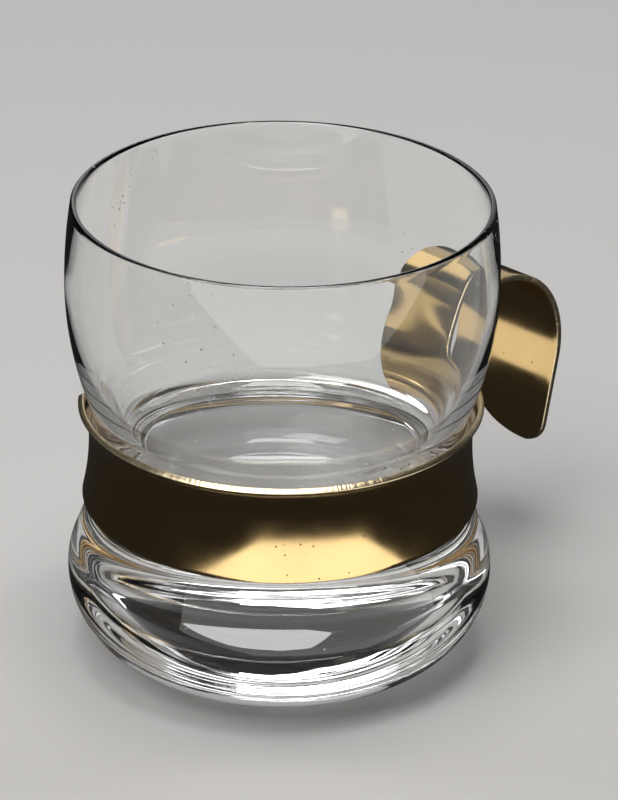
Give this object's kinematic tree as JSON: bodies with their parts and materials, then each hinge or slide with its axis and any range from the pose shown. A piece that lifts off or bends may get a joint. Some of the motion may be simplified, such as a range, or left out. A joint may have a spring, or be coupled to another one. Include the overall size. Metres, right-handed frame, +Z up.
{
  "type": "tea glass with metal holder",
  "caption": "Clear waisted tea glass with a heavy base, in a holder bent from one piece of sheet brass: an open band that grips the waist, and a leg that rises from its end into a hooked handle.",
  "frame": {"origin": "centre of the ground flat underside of the glass, on the glass's axis", "axes": "+Z up along the glass's axis, +X through the middle of the handle"},
  "size_m": [0.1058, 0.0774, 0.087],
  "materials": {
    "clear_glass": "clear, fire-polished lip",
    "holder_brass": "polished, lightly brushed, worn"
  },
  "bodies": {
    "glass": {"tea_glass": "clear_glass"},
    "holder": {"brass_holder": "holder_brass"}
  },
  "joints": [
    {"name": "holder_turn", "type": "hinge", "parent": "glass", "child": "holder", "pos_m": [0, 0, 0.0415], "axis": [0, 0, 1], "continuous": true}
  ]
}
